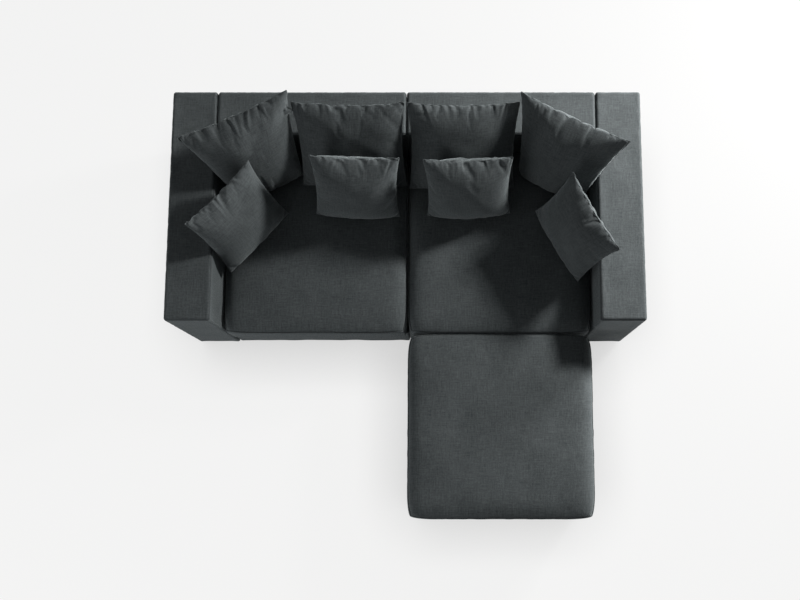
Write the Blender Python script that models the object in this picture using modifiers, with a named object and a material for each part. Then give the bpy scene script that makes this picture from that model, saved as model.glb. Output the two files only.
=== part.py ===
"""A modular sofa: two seats, two arms, two backs, an ottoman and eight loose cushions.

Metres, +X to the right of someone who looks at the front, +Y to the back, +Z up. The origin is on
the floor, under the middle of the whole set. Each module has an empty in the middle of its
footprint, and its pieces hang from that empty. Loose cushions have their origin in their middle.
"""

import math

import bmesh
import bpy
from mathutils import Euler, Matrix, Vector
from mathutils.bvhtree import BVHTree

# Clearances
ROUNDING = 0.000001
GAP = 0.0003
MODULE_GAP = 0.0006
REST_GAP = 0.0005
FOLD_CLEARANCE = 0.002

# Modules
SEAT_WIDTH = 0.9694
SEAT_DEPTH = 0.962
BASE_HEIGHT = 0.25
ARM_WIDTH = 0.232
ARM_DEPTH = 1.200
ARM_HEIGHT = 0.62
BACK_THICKNESS = 0.232
UNDERSIDE_HEIGHT = 0.030
OTTOMAN_BASE_INSET = 0.022

# Upholstered covers
COVER_WALL = 0.008
COVER_EDGE_RADIUS = 0.018
COVER_EDGE_STEPS = 3
DUST_COVER_THICKNESS = 0.0015
DUST_COVER_INSET = 0.004

# Wooden frames
SEAT_RAIL_THICKNESS = 0.025
SEAT_RAIL_TOP = 0.225
STRETCHER_HEIGHT = 0.070
STRETCHER_COUNT = 3
POST_SIZE = 0.045
FRAME_RAIL_THICKNESS = 0.022
FRAME_RAIL_HEIGHT = 0.080
TOP_BOARD_THICKNESS = 0.015
TOP_PAD_THICKNESS = 0.030
WINDOW_PITCH = 0.24
CUT_OVERRUN = 0.01

# Seat suspension
STRAP_COUNT = 5
STRAP_WIDTH = 0.070
STRAP_THICKNESS = 0.0015
DECK_PAD_INSET = 0.012

# Glides
GLIDE_RADIUS = 0.022
GLIDE_FLOOR_RADIUS = 0.019
GLIDE_SIDES = 10
GLIDE_INSET = 0.055

# Snap connectors between modules
CONNECTOR_SPAN = 0.36
PLATE_THICKNESS = 0.003
PLATE_LENGTH = 0.060
PLATE_INSET = 0.008
TONGUE_REACH = 0.055
TONGUE_ROOT = 0.070

# Boxed cushions on the seats and the ottoman
BOXING_HEIGHT = 0.167
SEAT_CROWN = 0.026
SIDE_BULGE = 0.008
SEAT_CUSHION_OVERHANG = 0.033
OTTOMAN_DEPTH = 0.957
CUSHION_CORNER_PULL = 0.016
CORNER_SHARPNESS = 8
BOXED_CELLS = 16
WALL_RINGS = 3
CROWN_POWER = 4.5
BULGE_STEEPNESS = 3.0

# Loose cushions
PILLOW_CELLS = 12
PILLOW_FULLNESS = 0.5
BACK_CUSHION_WIDTH = 0.548
BACK_CUSHION_HEIGHT = 0.470
BACK_CUSHION_THICKNESS = 0.152
CORNER_CUSHION_WIDTH = 0.574
CORNER_CUSHION_HEIGHT = 0.475
CORNER_CUSHION_THICKNESS = 0.210
CORNER_CUSHION_TAPER_RATIO = 0.62
SMALL_CUSHION_WIDTH = 0.435
SMALL_CUSHION_HEIGHT = 0.395
MIDDLE_CUSHION_THICKNESS = 0.210
SIDE_CUSHION_THICKNESS = 0.150
DRAWN_IN = 0.016
SIDE_BY_SIDE_GAP = 0.003

# Where the loose cushions stand, from the middle seam, and how they are turned in degrees
LEFT_BACK_FROM_SEAM = 0.003
RIGHT_BACK_FROM_SEAM = 0.012
LEFT_MIDDLE_X = -0.251
RIGHT_MIDDLE_X = 0.315
LEFT_SIDE_FROM_ARM = 0.132
RIGHT_SIDE_FROM_ARM = 0.121
LEFT_SIDE_FROM_BACK = 0.446
RIGHT_SIDE_FROM_BACK = 0.504
LEFT_BACK_TURN = (-1.3, 34.5, 0.8)
RIGHT_BACK_TURN = (2.0, 37.5, -1.5)
LEFT_CORNER_TURN = (22.0, 30.0, 3.0)
RIGHT_CORNER_TURN = (-28.5, 25.0, 3.0)
LEFT_MIDDLE_TURN = (0.3, 25.0, -2.7)
RIGHT_MIDDLE_TURN = (0.5, 22.4, 1.8)
LEFT_SIDE_TURN = (51.0, 29.0, -4.0)
RIGHT_SIDE_TURN = (-59.0, 23.0, -2.4)

# How a loose cushion is brought to rest
SETTLE_ROUNDS = 7
SETTLE_STEP = 0.006
SETTLE_BACK_OFF = 0.010
SETTLE_HALVINGS = 8
SETTLE_HEADROOM = 0.020
SETTLE_REACH = 0.60
SETTLE_RUN_UP = 0.20
BACK_START_RATIO = 0.60
MIDDLE_START_RATIO = 0.38

# Places that follow from the sizes
DEPTH = BACK_THICKNESS + SEAT_DEPTH + SEAT_CUSHION_OVERHANG + OTTOMAN_DEPTH + 2.0 * MODULE_GAP
REAR = DEPTH / 2.0
BACK_FRONT = REAR - BACK_THICKNESS
SEAT_REAR = BACK_FRONT - MODULE_GAP
SEAT_FRONT = SEAT_REAR - SEAT_DEPTH
CUSHION_FRONT = SEAT_FRONT - SEAT_CUSHION_OVERHANG
OTTOMAN_REAR = CUSHION_FRONT - MODULE_GAP
SEAT_INNER = MODULE_GAP / 2.0
SEAT_OUTER = SEAT_INNER + SEAT_WIDTH
ARM_INNER = SEAT_OUTER + MODULE_GAP
ARM_OUTER = ARM_INNER + ARM_WIDTH
CUSHION_BOTTOM = BASE_HEIGHT + GAP
DUST_COVER_TOP = UNDERSIDE_HEIGHT - GAP
DUST_COVER_BOTTOM = DUST_COVER_TOP - DUST_COVER_THICKNESS
FITTING_TOP = DUST_COVER_BOTTOM - GAP
PLATE_BOTTOM = FITTING_TOP - PLATE_THICKNESS
TONGUE_TOP = PLATE_BOTTOM - GAP
TONGUE_BOTTOM = TONGUE_TOP - PLATE_THICKNESS
INNER_RADIUS = COVER_EDGE_RADIUS - COVER_WALL
FOLD_CHAMFER = INNER_RADIUS + FOLD_CLEARANCE
LINING = COVER_WALL + GAP

# Finishes: colour, roughness, metallic
FABRIC = ((0.036, 0.041, 0.042), 0.92, 0.0)
WOOD = ((0.52, 0.38, 0.23), 0.65, 0.0)
FOAM = ((0.80, 0.78, 0.70), 0.95, 0.0)
WEBBING = ((0.17, 0.16, 0.15), 0.85, 0.0)
PLASTIC = ((0.03, 0.03, 0.03), 0.45, 0.0)
STEEL = ((0.55, 0.56, 0.57), 0.35, 1.0)

DOWN = Vector((0.0, 0.0, -1.0))


def empty_scene():
    """Remove whatever the scene holds."""
    for item in list(bpy.data.objects):
        bpy.data.objects.remove(item, do_unlink=True)


def add_collection(name):
    """A collection in the scene."""
    collection = bpy.data.collections.new(name)
    bpy.context.scene.collection.children.link(collection)
    return collection


empty_scene()
PARTS = add_collection("modular_sofa")
CUTTERS = add_collection("cutters")


def finish(name, look):
    """A Principled material of one colour, roughness and metallic value."""
    colour, roughness, metallic = look
    material = bpy.data.materials.new(name + "_finish")
    material.use_nodes = True
    shader = material.node_tree.nodes["Principled BSDF"]
    shader.inputs["Base Color"].default_value = (*colour, 1.0)
    shader.inputs["Roughness"].default_value = roughness
    shader.inputs["Metallic"].default_value = metallic
    return material


def add_object(name, mesh_source, look, parent=None, smooth=False):
    """Make an object from a bmesh, and hang it from its module's empty."""
    mesh = bpy.data.meshes.new(name)
    if parent is not None:
        bmesh.ops.translate(mesh_source, verts=mesh_source.verts, vec=-parent.location)
    mesh_source.to_mesh(mesh)
    mesh_source.free()
    if smooth:
        mesh.shade_smooth()
    mesh.materials.append(finish(name, look))
    piece = bpy.data.objects.new(name, mesh)
    piece.parent = parent
    PARTS.objects.link(piece)
    return piece


def add_empty(name, low, high):
    """The reference point of a module: on the floor, in the middle of its footprint."""
    empty = bpy.data.objects.new(name, None)
    empty.location = ((low[0] + high[0]) / 2.0, (low[1] + high[1]) / 2.0, 0.0)
    PARTS.objects.link(empty)
    return empty


def add_box(shape, low, high):
    """Add one box, from its lowest to its highest corner."""
    low = Vector(low)
    high = Vector(high)
    place = Matrix.LocRotScale((low + high) / 2.0, None, high - low)
    bmesh.ops.create_cube(shape, size=1.0, matrix=place)


def box(name, low, high, look, parent, chamfer=0.0):
    """A box, with its four upright edges chamfered where a cover's rounded folds need it."""
    shape = bmesh.new()
    add_box(shape, low, high)
    if chamfer > 0.0:
        upright = [
            edge
            for edge in shape.edges
            if abs(edge.verts[0].co.z - edge.verts[1].co.z) > GAP
        ]
        bmesh.ops.bevel(shape, geom=upright, offset=chamfer, segments=1, affect="EDGES")
    return add_object(name, shape, look, parent)


def combine(piece, operation, shape):
    """Cut a hidden shape from a piece, or join it to the piece."""
    label = f"{operation.lower()}_{len(piece.modifiers)}"
    name = f"{piece.name}_{label}"
    mesh = bpy.data.meshes.new(name)
    shape.to_mesh(mesh)
    shape.free()
    tool = bpy.data.objects.new(name, mesh)
    tool.hide_render = True
    tool.display_type = "WIRE"
    CUTTERS.objects.link(tool)
    modifier = piece.modifiers.new(label, "BOOLEAN")
    modifier.operation = operation
    modifier.solver = "EXACT"
    modifier.object = tool


def combine_boxes(piece, operation, corners):
    """Cut a group of boxes from a piece, or join them to it."""
    shape = bmesh.new()
    for low, high in corners:
        add_box(shape, low, high)
    combine(piece, operation, shape)


def cover(name, low, high, top, parent):
    """An upholstered cover: walls and a top with rounded edges, open below."""
    shape = bmesh.new()
    add_box(shape, (*low, UNDERSIDE_HEIGHT), (*high, top))
    below = [face for face in shape.faces if face.normal.z < -ROUNDING]
    bmesh.ops.delete(shape, geom=below, context="FACES")
    folds = [edge for edge in shape.edges if not edge.is_boundary]
    bmesh.ops.bevel(
        shape,
        geom=folds,
        offset=COVER_EDGE_RADIUS,
        segments=COVER_EDGE_STEPS,
        affect="EDGES",
        profile=0.5,
        clamp_overlap=True,
    )
    piece = add_object(name, shape, FABRIC, parent, smooth=True)
    wall = piece.modifiers.new("wall", "SOLIDIFY")
    wall.thickness = COVER_WALL
    wall.offset = -1.0
    wall.use_even_offset = True
    return piece


def underside(name, low, high, parent):
    """The dust cover that closes a module below, with the glide at each of its corners."""
    inset = DUST_COVER_INSET
    cloth = box(
        name,
        (low[0] + inset, low[1] + inset, DUST_COVER_BOTTOM),
        (high[0] - inset, high[1] - inset, DUST_COVER_TOP),
        PLASTIC,
        parent,
    )
    glide_top = (DUST_COVER_BOTTOM + DUST_COVER_TOP) / 2.0
    shape = bmesh.new()
    for x in (low[0] + GLIDE_INSET, high[0] - GLIDE_INSET):
        for y in (low[1] + GLIDE_INSET, high[1] - GLIDE_INSET):
            bmesh.ops.create_cone(
                shape,
                cap_ends=True,
                segments=GLIDE_SIDES,
                radius1=GLIDE_FLOOR_RADIUS,
                radius2=GLIDE_RADIUS,
                depth=glide_top,
                matrix=Matrix.Translation((x, y, glide_top / 2.0)),
            )
    combine(cloth, "UNION", shape)


def seat_frame(name, low, high, parent):
    """Rails round the cover's inside, with lower stretchers between them."""
    x0, y0 = low[0] + LINING, low[1] + LINING
    x1, y1 = high[0] - LINING, high[1] - LINING
    rail = SEAT_RAIL_THICKNESS
    bottom = UNDERSIDE_HEIGHT
    frame = box(
        name, (x0, y0, bottom), (x1, y1, SEAT_RAIL_TOP), WOOD, parent, FOLD_CHAMFER
    )
    stretcher_top = bottom + STRETCHER_HEIGHT
    recess = (
        (x0 + rail, y0 + rail, stretcher_top),
        (x1 - rail, y1 - rail, SEAT_RAIL_TOP + CUT_OVERRUN),
    )
    combine_boxes(frame, "DIFFERENCE", [recess])
    cell = (x1 - x0 - rail * (STRETCHER_COUNT + 2)) / (STRETCHER_COUNT + 1)
    cells = []
    for index in range(STRETCHER_COUNT + 1):
        x = x0 + rail + index * (cell + rail)
        cells.append(
            (
                (x, y0 + rail, bottom - CUT_OVERRUN),
                (x + cell, y1 - rail, stretcher_top + CUT_OVERRUN),
            )
        )
    combine_boxes(frame, "DIFFERENCE", cells)


def webbing(name, low, high, parent):
    """Elastic straps across the top of a seat frame, sewn where they cross."""
    inset = LINING + INNER_RADIUS + GAP
    x0, y0 = low[0] + inset, low[1] + inset
    x1, y1 = high[0] - inset, high[1] - inset
    bottom = SEAT_RAIL_TOP + GAP
    top = bottom + STRAP_THICKNESS
    half = STRAP_WIDTH / 2.0
    across = []
    along = []
    for index in range(STRAP_COUNT):
        share = (index + 0.5) / STRAP_COUNT
        y = y0 + (y1 - y0) * share
        x = x0 + (x1 - x0) * share
        across.append(((x0, y - half, bottom), (x1, y + half, top)))
        along.append(((x - half, y0, bottom + GAP), (x + half, y1, top + STRAP_THICKNESS)))
    strap = box(name, *across[0], WEBBING, parent)
    combine_boxes(strap, "UNION", along)
    combine_boxes(strap, "UNION", across[1:])


def deck_pad(name, low, high, parent):
    """The pad between the straps and the top of the base cover."""
    inset = LINING + DECK_PAD_INSET
    bottom = SEAT_RAIL_TOP + 2.0 * GAP + 2.0 * STRAP_THICKNESS
    box(
        name,
        (low[0] + inset, low[1] + inset, bottom),
        (high[0] - inset, high[1] - inset, BASE_HEIGHT - LINING),
        FOAM,
        parent,
    )


def box_frame(name, low, high, parent):
    """The frame of an arm or a back: posts and rails on every side, under a top board."""
    x0, y0 = low[0] + LINING, low[1] + LINING
    x1, y1 = high[0] - LINING, high[1] - LINING
    rail = FRAME_RAIL_THICKNESS
    bottom = UNDERSIDE_HEIGHT
    top = ARM_HEIGHT - LINING - TOP_PAD_THICKNESS - GAP
    frame = box(name, (x0, y0, bottom), (x1, y1, top), WOOD, parent, FOLD_CHAMFER)
    below_board = top - TOP_BOARD_THICKNESS
    hollow = (
        (x0 + rail, y0 + rail, bottom - CUT_OVERRUN),
        (x1 - rail, y1 - rail, below_board),
    )
    combine_boxes(frame, "DIFFERENCE", [hollow])
    window_bottom = bottom + FRAME_RAIL_HEIGHT
    window_top = below_board - FRAME_RAIL_HEIGHT / 2.0
    for axis in (0, 1):
        start = (x0, y0)[1 - axis] + POST_SIZE
        stop = (x1, y1)[1 - axis] - POST_SIZE
        count = max(1, round((stop - start) / WINDOW_PITCH))
        width = (stop - start - (count - 1) * POST_SIZE) / count
        windows = []
        for index in range(count):
            near = start + index * (width + POST_SIZE)
            through = ((x0, y0)[axis] - CUT_OVERRUN, (x1, y1)[axis] + CUT_OVERRUN)
            low_corner = [near, near, window_bottom]
            high_corner = [near + width, near + width, window_top]
            low_corner[axis], high_corner[axis] = through
            windows.append((low_corner, high_corner))
        combine_boxes(frame, "DIFFERENCE", windows)


def top_pad(name, low, high, parent):
    """The foam under the top of an arm's or a back's cover, chamfered to follow its folds."""
    shape = bmesh.new()
    top = ARM_HEIGHT - LINING
    add_box(
        shape,
        (low[0] + LINING, low[1] + LINING, top - TOP_PAD_THICKNESS),
        (high[0] - LINING, high[1] - LINING, top),
    )
    folds = [edge for edge in shape.edges if max(v.co.z for v in edge.verts) > top - GAP]
    bmesh.ops.bevel(shape, geom=folds, offset=FOLD_CHAMFER, segments=1, affect="EDGES")
    add_object(name, shape, FOAM, parent)


def snap_connector(edge, outward, middle):
    """The boxes of a connector at a seat's edge: catch plate, tongue and the tongue's block.

    edge is where the seat ends along outward, which is (1, 0), (-1, 0) or (0, 1), and middle is
    the connector's middle on the other axis.
    """
    along_x = outward[0] != 0
    sign = outward[0] if along_x else outward[1]

    def strip(start, stop, bottom, top, half):
        a, b = sorted((edge + sign * start, edge + sign * stop))
        if along_x:
            return (a, middle - half, bottom), (b, middle + half, top)
        return (middle - half, a, bottom), (middle + half, b, top)

    half = CONNECTOR_SPAN / 2.0
    root = MODULE_GAP + TONGUE_ROOT
    plate = strip(-PLATE_INSET - PLATE_LENGTH, -PLATE_INSET, PLATE_BOTTOM, FITTING_TOP, half)
    tongue = strip(-TONGUE_REACH, root, TONGUE_BOTTOM, TONGUE_TOP, half)
    block = strip(
        MODULE_GAP + PLATE_INSET,
        root - PLATE_THICKNESS,
        (TONGUE_BOTTOM + TONGUE_TOP) / 2.0,
        FITTING_TOP,
        half - PLATE_THICKNESS,
    )
    return plate, tongue, block


def add_connector(seat_name, neighbour_name, edge, outward, middle, seat, neighbour):
    """The catch plate under a seat's edge, and its neighbour's tongue below it."""
    plate, tongue, block = snap_connector(edge, outward, middle)
    box(f"{seat_name}_catch_plate_for_{neighbour_name}", *plate, STEEL, seat)
    piece = box(f"{neighbour_name}_snap_tongue", *tongue, STEEL, neighbour)
    combine_boxes(piece, "UNION", [block])


def boxed_cushion(name, low, high):
    """A cushion with a boxing strip: flat below, bulging sides and a crowned top."""
    middle = Vector(((low[0] + high[0]) / 2.0, (low[1] + high[1]) / 2.0, CUSHION_BOTTOM))
    half_x = (high[0] - low[0]) / 2.0
    half_y = (high[1] - low[1]) / 2.0
    seam_ring = 1.0 - WALL_RINGS * 2.0 / BOXED_CELLS
    shape = bmesh.new()
    bmesh.ops.create_grid(shape, x_segments=BOXED_CELLS, y_segments=BOXED_CELLS, size=1.0)
    for vert in shape.verts:
        a, b = vert.co.x, vert.co.y
        ring = max(abs(a), abs(b))
        if ring > seam_ring + ROUNDING:
            u, v = a / ring, b / ring
            rise = (1.0 - ring) / (1.0 - seam_ring)
            bulge = SIDE_BULGE * min(1.0, BULGE_STEEPNESS * min(rise, 1.0 - rise))
            height = BOXING_HEIGHT * rise
        else:
            u, v = a / seam_ring, b / seam_ring
            bulge = 0.0
            rise = (1.0 - abs(u) ** CROWN_POWER) * (1.0 - abs(v) ** CROWN_POWER)
            height = BOXING_HEIGHT + SEAT_CROWN * rise
        pull = CUSHION_CORNER_PULL * (abs(u) * abs(v)) ** CORNER_SHARPNESS
        vert.co.x = u * (half_x - SIDE_BULGE + bulge * abs(u) - pull)
        vert.co.y = v * (half_y - SIDE_BULGE + bulge * abs(v) - pull)
        vert.co.z = height
    rim = [edge for edge in shape.edges if edge.is_boundary]
    bmesh.ops.holes_fill(shape, edges=rim, sides=0)
    bmesh.ops.recalc_face_normals(shape, faces=shape.faces)
    piece = add_object(name, shape, FABRIC, smooth=True)
    piece.location = middle
    return piece


def loose_cushion(name, width, height, thickness, taper=1.0):
    """A knife-edge cushion, pointed at its corners, with its sides drawn in between them.

    It stands in its own XZ plane, on a lower edge that its weight keeps straight. taper is that
    edge's length as a share of the upper edge's.
    """
    shape = bmesh.new()
    bmesh.ops.create_grid(shape, x_segments=PILLOW_CELLS, y_segments=PILLOW_CELLS, size=1.0)
    for vert in shape.verts:
        u = math.sin(vert.co.x * math.pi / 2.0)
        v = math.sin(vert.co.y * math.pi / 2.0)
        fill = max(0.0, (1.0 - u * u) * (1.0 - v * v))
        narrowing = 1.0 - (1.0 - taper) * (1.0 - v) / 2.0
        vert.co.x = u * narrowing * (width / 2.0 - DRAWN_IN * (1.0 - v * v))
        vert.co.z = v * (height / 2.0 - DRAWN_IN * (1.0 - u * u) * (1.0 + v) / 2.0)
        vert.co.y = -thickness / 2.0 * fill**PILLOW_FULLNESS
    bmesh.ops.recalc_face_normals(shape, faces=shape.faces)
    if sum(face.normal.y for face in shape.faces) > 0.0:
        bmesh.ops.reverse_faces(shape, faces=shape.faces)
    piece = add_object(name, shape, FABRIC, smooth=True)
    mirror = piece.modifiers.new("other_side", "MIRROR")
    mirror.use_axis = (False, True, False)
    mirror.merge_threshold = 0.00001
    return piece


def turned(turn):
    """The rotation of a cushion that is rolled in its plane, leant back and swung about Z."""
    yaw, lean, roll = (math.radians(angle) for angle in turn)
    rolled = Euler((0.0, -roll, 0.0)).to_matrix()
    leant = Euler((-lean, 0.0, 0.0)).to_matrix()
    swung = Euler((0.0, 0.0, yaw)).to_matrix()
    return swung @ leant @ rolled


def hull(piece):
    """The corners and faces of the convex hull of a piece, in its own frame."""
    graph = bpy.context.evaluated_depsgraph_get()
    shape = bmesh.new()
    shape.from_object(piece, graph)
    spare = bmesh.ops.convex_hull(shape, input=shape.verts)
    inside = set(spare["geom_interior"]) | set(spare["geom_unused"])
    loose = [item for item in inside if isinstance(item, bmesh.types.BMVert)]
    bmesh.ops.delete(shape, geom=loose, context="VERTS")
    bmesh.ops.triangulate(shape, faces=shape.faces)
    shape.verts.index_update()
    points = [vert.co.copy() for vert in shape.verts]
    faces = [tuple(vert.index for vert in face.verts) for face in shape.faces]
    shape.free()
    return points, faces


def placed_tree(points, faces, rotation, location):
    """A search tree of a shape that is turned and moved."""
    return BVHTree.FromPolygons([rotation @ point + location for point in points], faces)


class Settler:
    """Brings loose cushions to rest on each other, with a small gap between their hulls."""

    def __init__(self):
        self.supports = {}

    def add(self, piece):
        """Let a piece carry the cushions that are settled after it."""
        bpy.context.view_layer.update()
        points, faces = hull(piece)
        world = piece.matrix_world
        tree = placed_tree(points, faces, world.to_3x3(), world.translation)
        self.supports[piece.name] = tree

    def touches(self, shape, rotation, place):
        tree = placed_tree(*shape, rotation, place)
        return any(tree.overlap(other) for other in self.supports.values())

    def travel(self, shape, rotation, place, direction):
        """Move a shape until it would touch, and stop a small gap before that."""
        clear = 0.0
        blocked = SETTLE_STEP
        while not self.touches(shape, rotation, place + direction * blocked):
            clear = blocked
            blocked += SETTLE_STEP
            if blocked > SETTLE_REACH:
                break
        for _ in range(SETTLE_HALVINGS):
            middle = (clear + blocked) / 2.0
            if self.touches(shape, rotation, place + direction * middle):
                blocked = middle
            else:
                clear = middle
        return place + direction * (clear - REST_GAP)

    def settle(self, piece, turn, place, push):
        """Stand a cushion on what is under it, leaning on what is behind it along push."""
        bpy.context.view_layer.update()
        shape = hull(piece)
        rotation = turned(turn)
        push = Vector((*push, 0.0)).normalized()
        lowest = min((rotation @ point).z for point in shape[0])
        place = Vector((*place, ARM_HEIGHT + SETTLE_HEADROOM - lowest))
        place = self.travel(shape, rotation, place, DOWN)
        place = self.travel(shape, rotation, place, push)
        for _ in range(SETTLE_ROUNDS):
            place = place - push * SETTLE_BACK_OFF
            place = self.travel(shape, rotation, place, DOWN)
            place = self.travel(shape, rotation, place, push)
        piece.rotation_euler = rotation.to_euler()
        piece.location = place
        self.add(piece)


def side_reach(piece, turn, sign):
    """How far a turned cushion reaches along X from its middle, on one side."""
    rotation = turned(turn)
    return max(sign * (rotation @ point).x for point in hull(piece)[0])


def seat_module(name, low, high):
    """A seat's or the ottoman's base, from its dust cover to its upholstered top."""
    parent = add_empty(name + "_module", low, high)
    seat_frame(name + "_frame", low, high, parent)
    webbing(name + "_webbing", low, high, parent)
    deck_pad(name + "_deck_pad", low, high, parent)
    cover(name + "_base_cover", low, high, BASE_HEIGHT, parent)
    underside(name + "_underside", low, high, parent)
    return parent


def upright_module(name, low, high):
    """An arm or a back, from its dust cover to its upholstered top."""
    parent = add_empty(name + "_module", low, high)
    box_frame(name + "_frame", low, high, parent)
    top_pad(name + "_top_pad", low, high, parent)
    underside(name + "_underside", low, high, parent)
    return parent, cover(name + "_cover", low, high, ARM_HEIGHT, parent)


def ordered(sign, near, far):
    """Two places on the left (-1) or the right (1), the lower one first."""
    return tuple(sorted((sign * near, sign * far)))


def build_side(side, sign, settler):
    """A seat with its cushion, its arm and its back, on the left or the right."""
    seat_x = ordered(sign, SEAT_INNER, SEAT_OUTER)
    arm_x = ordered(sign, ARM_INNER, ARM_OUTER)
    seat_middle_x = sum(seat_x) / 2.0
    seat_middle_y = (SEAT_FRONT + SEAT_REAR) / 2.0

    seat = seat_module(side + "_seat", (seat_x[0], SEAT_FRONT), (seat_x[1], SEAT_REAR))
    arm, arm_cover = upright_module(
        side + "_arm", (arm_x[0], REAR - ARM_DEPTH), (arm_x[1], REAR)
    )
    back, back_cover = upright_module(
        side + "_back", (seat_x[0], BACK_FRONT), (seat_x[1], REAR)
    )
    cushion = boxed_cushion(
        side + "_seat_cushion", (seat_x[0], CUSHION_FRONT), (seat_x[1], SEAT_REAR)
    )
    for piece in (arm_cover, back_cover, cushion):
        settler.add(piece)

    add_connector(
        f"{side}_seat", f"{side}_arm", sign * SEAT_OUTER, (sign, 0), seat_middle_y, seat, arm
    )
    add_connector(
        f"{side}_seat", f"{side}_back", SEAT_REAR, (0, 1), seat_middle_x, seat, back
    )
    return seat


def join_seats(left, right):
    """The connector between the two seats, whose catch plate is under the left one."""
    middle = (SEAT_FRONT + SEAT_REAR) / 2.0
    add_connector("left_seat", "right_seat", -SEAT_INNER, (1, 0), middle, left, right)


def build_ottoman():
    """The ottoman's base and its cushion, in front of the right seat."""
    front = OTTOMAN_REAR - OTTOMAN_DEPTH
    inset = OTTOMAN_BASE_INSET
    seat_module(
        "ottoman",
        (SEAT_INNER + inset, front + inset),
        (SEAT_OUTER - inset, OTTOMAN_REAR - inset),
    )
    boxed_cushion("ottoman_cushion", (SEAT_INNER, front), (SEAT_OUTER, OTTOMAN_REAR))


def build_loose_cushions(side, sign, from_seam, turns, middle_x, side_place, settler):
    """The four loose cushions of one side, each settled on those before it."""
    back_turn, corner_turn, middle_turn, side_turn = turns
    back = (0.0, 1.0)
    start_y = SEAT_FRONT + BACK_START_RATIO * SEAT_DEPTH
    wide = loose_cushion(
        side + "_back_cushion",
        BACK_CUSHION_WIDTH,
        BACK_CUSHION_HEIGHT,
        BACK_CUSHION_THICKNESS,
    )
    near = side_reach(wide, back_turn, -sign)
    far = side_reach(wide, back_turn, sign)
    settler.settle(wide, back_turn, (sign * (from_seam + near), start_y), back)

    corner = loose_cushion(
        side + "_corner_cushion",
        CORNER_CUSHION_WIDTH,
        CORNER_CUSHION_HEIGHT,
        CORNER_CUSHION_THICKNESS,
        CORNER_CUSHION_TAPER_RATIO,
    )
    corner_x = from_seam + near + far + SIDE_BY_SIDE_GAP
    corner_x += side_reach(corner, corner_turn, -sign)
    settler.settle(corner, corner_turn, (sign * corner_x, start_y), back)

    middle = loose_cushion(
        side + "_middle_cushion",
        SMALL_CUSHION_WIDTH,
        SMALL_CUSHION_HEIGHT,
        MIDDLE_CUSHION_THICKNESS,
    )
    start_y = SEAT_FRONT + MIDDLE_START_RATIO * SEAT_DEPTH
    settler.settle(middle, middle_turn, (middle_x, start_y), back)

    aside = loose_cushion(
        side + "_side_cushion",
        SMALL_CUSHION_WIDTH,
        SMALL_CUSHION_HEIGHT,
        SIDE_CUSHION_THICKNESS,
    )
    yaw = math.radians(side_turn[0])
    push = Vector((-math.sin(yaw), math.cos(yaw)))
    start = Vector(side_place) - push * SETTLE_RUN_UP
    settler.settle(aside, side_turn, start, push)


def build():
    """The whole set."""
    settler = Settler()
    left = build_side("left", -1, settler)
    right = build_side("right", 1, settler)
    join_seats(left, right)
    build_ottoman()
    build_loose_cushions(
        "left",
        -1,
        LEFT_BACK_FROM_SEAM,
        (LEFT_BACK_TURN, LEFT_CORNER_TURN, LEFT_MIDDLE_TURN, LEFT_SIDE_TURN),
        LEFT_MIDDLE_X,
        (-ARM_INNER + LEFT_SIDE_FROM_ARM, BACK_FRONT - LEFT_SIDE_FROM_BACK),
        settler,
    )
    build_loose_cushions(
        "right",
        1,
        RIGHT_BACK_FROM_SEAM,
        (RIGHT_BACK_TURN, RIGHT_CORNER_TURN, RIGHT_MIDDLE_TURN, RIGHT_SIDE_TURN),
        RIGHT_MIDDLE_X,
        (ARM_INNER - RIGHT_SIDE_FROM_ARM, BACK_FRONT - RIGHT_SIDE_FROM_BACK),
        settler,
    )


build()
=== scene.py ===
import math

import bpy
import numpy as np
from mathutils import Matrix, Vector
from mathutils.bvhtree import BVHTree


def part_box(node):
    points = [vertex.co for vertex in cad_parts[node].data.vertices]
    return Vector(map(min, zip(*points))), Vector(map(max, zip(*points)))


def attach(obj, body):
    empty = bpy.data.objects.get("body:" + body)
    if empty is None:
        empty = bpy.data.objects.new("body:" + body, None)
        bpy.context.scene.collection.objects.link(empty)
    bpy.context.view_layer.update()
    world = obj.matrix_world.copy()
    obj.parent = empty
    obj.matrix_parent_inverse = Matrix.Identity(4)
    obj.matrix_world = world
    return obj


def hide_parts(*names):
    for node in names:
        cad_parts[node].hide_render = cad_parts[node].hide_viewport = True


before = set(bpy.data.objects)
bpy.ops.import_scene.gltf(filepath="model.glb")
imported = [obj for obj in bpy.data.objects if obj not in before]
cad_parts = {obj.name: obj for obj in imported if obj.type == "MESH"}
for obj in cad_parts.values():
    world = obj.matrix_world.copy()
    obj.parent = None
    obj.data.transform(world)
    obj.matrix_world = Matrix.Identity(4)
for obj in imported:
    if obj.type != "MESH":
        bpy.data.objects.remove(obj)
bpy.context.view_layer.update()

# Lengths are in metres and angles in degrees.
TINY = 1e-6
NEVER_ZERO = 1e-9
# Waves that an uneven surface is added up from
WAVE_COUNT = 7

# Seeds of the random draws. The right side's are one more. A loose cushion's is "loose" times its
# side's number, plus ten for each kind before its own.
SEEDS = {"arm": 11, "back": 21, "base": 31, "seat": 41, "loose": 100,
         "ottoman_base": 35, "ottoman": 45, "lumps": 40, "pucker": 9, "foam": 5}

# Grids of cloth: cell sizes, and how far the first lines lie from a seam
LOOSE_BAG_CELL = 0.010
COVER_CELL = 0.014
BOXED_CELL = 0.012
BOXED_BAG_CELL = 0.018
FOAM_CELL = 0.05
LOOSE_CELL_ACROSS = 0.0062
LOOSE_CELL_UP = 0.0080
SEAM_LINES = (0.0025, 0.006, 0.012)
SEAM_RAMP = 0.05

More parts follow.
